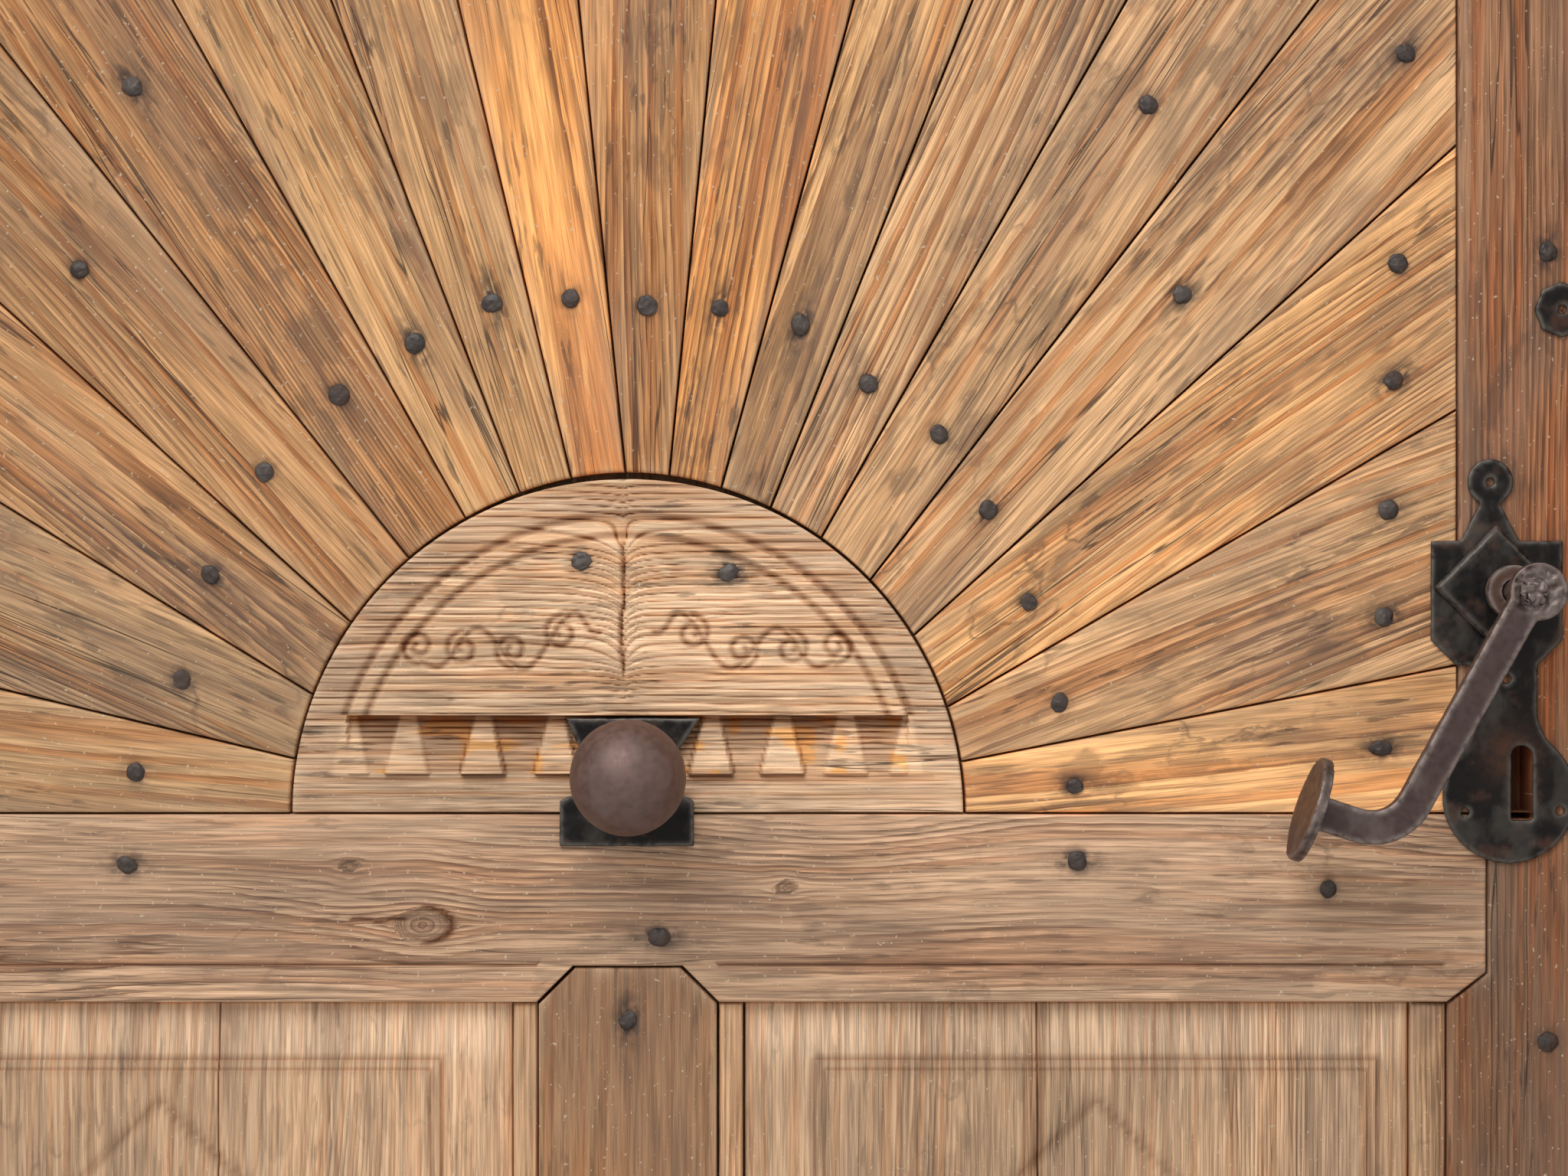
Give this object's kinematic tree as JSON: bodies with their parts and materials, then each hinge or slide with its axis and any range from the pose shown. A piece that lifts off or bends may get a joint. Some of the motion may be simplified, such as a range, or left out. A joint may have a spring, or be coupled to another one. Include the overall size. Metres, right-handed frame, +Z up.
{
  "type": "arched wooden door",
  "caption": "Round-headed timber house door in its frame: carved half-round hub with a sunburst of tapered boards, raised lower panels, ball knob, forged lever, key plate.",
  "frame": {"origin": "bottom centre of the threshold, on the surface that it stands on", "axes": "+Z up, the door's longest extent; +Y through the wall towards the inside, the shortest; +X to the right seen from outside; the outer face looks along -Y"},
  "size_m": [1.22, 0.1785, 2.09],
  "materials": {
    "ray_boards": "weathered bare softwood, raised dark grain",
    "hub_board": "weathered bare softwood, deeply ridged grain",
    "rail_boards": "weathered bare softwood",
    "panel_boards": "weathered bare softwood, greyer",
    "stile_boards": "weathered bare softwood, reddish brown",
    "plank_boards": "aged planed softwood",
    "frame_timber": "weathered bare timber",
    "peg_wood": "cleft pegs, end grain",
    "nail_iron": "hammered wrought iron, dark",
    "plate_iron": "blue-black wrought iron",
    "knob_iron": "smooth dark brown iron",
    "lever_iron": "grey-brown forged iron",
    "lock_iron": "dark wrought iron",
    "hinge_iron": "dark wrought iron, rust at edges"
  },
  "bodies": {
    "frame": {"threshold": "frame_timber", "jamb_left": "frame_timber", "jamb_right": "frame_timber", "head_left": "frame_timber", "head_right": "frame_timber", "frame_pegs": "peg_wood", "pintle_lower": "hinge_iron", "pintle_upper": "hinge_iron", "keeper": "lock_iron", "keeper_nails": "nail_iron"},
    "leaf": {"back_plank_1": "plank_boards", "back_plank_2": "plank_boards", "back_plank_3": "plank_boards", "boss_plate": "plate_iron", "bottom_rail": "rail_boards", "hub": "hub_board", "iron_nails": "nail_iron", "key_plate": "plate_iron", "knob": "knob_iron", "knob_nut": "lock_iron", "knob_plate": "plate_iron", "latch_spring": "lock_iron", "leaf_arch_left": "stile_boards", "leaf_arch_right": "stile_boards", "lock_case": "lock_iron", "mid_rail": "rail_boards", "muntin": "panel_boards", "panel_left": "panel_boards", "panel_right": "panel_boards", "panel_strips": "panel_boards", "ray_01": "ray_boards", "ray_02": "ray_boards", "ray_03": "ray_boards", "ray_04": "ray_boards", "ray_05": "ray_boards", "ray_06": "ray_boards", "ray_07": "ray_boards", "ray_08": "ray_boards", "ray_09": "ray_boards", "ray_10": "ray_boards", "ray_11": "ray_boards", "ray_12": "ray_boards", "ray_13": "ray_boards", "ray_14": "ray_boards", "ray_15": "ray_boards", "ray_16": "ray_boards", "ray_17": "ray_boards", "small_plate": "plate_iron", "spindle_collar": "lever_iron", "stile_left": "stile_boards", "stile_right": "stile_boards", "strap_lower": "hinge_iron", "strap_upper": "hinge_iron", "wood_nails": "nail_iron"},
    "lever": {"lever_outer": "lever_iron", "spindle": "lever_iron", "follower": "lock_iron", "lever_inner": "lever_iron"},
    "latch": {"latch_bolt": "lock_iron"},
    "bolt": {"dead_bolt": "lock_iron"}
  },
  "joints": [
    {"name": "door_swing", "type": "hinge", "parent": "frame", "child": "leaf", "pos_m": [-0.549, 0.07305, 0.9], "axis": [0, 0, 1], "range_deg": [0, 100]},
    {"name": "lever_turn", "type": "hinge", "parent": "leaf", "child": "lever", "pos_m": [0.446, 0.03, 1.073], "axis": [0, -1, 0], "range_deg": [0, 35], "stiffness_Nm_per_rad": 1.5, "springref_deg": -34.38, "deforming": ["latch_spring"]},
    {"name": "latch_slide", "type": "slide", "parent": "leaf", "child": "latch", "axis": [-1, 0, 0], "range_m": [0, 0.0121]},
    {"name": "dead_bolt_slide", "type": "slide", "parent": "leaf", "child": "bolt", "axis": [1, 0, 0], "range_m": [0, 0.018]}
  ],
  "couplings": [
    {"joint": "latch_slide", "follows": "lever_turn", "m_per_rad": 0.019644}
  ]
}
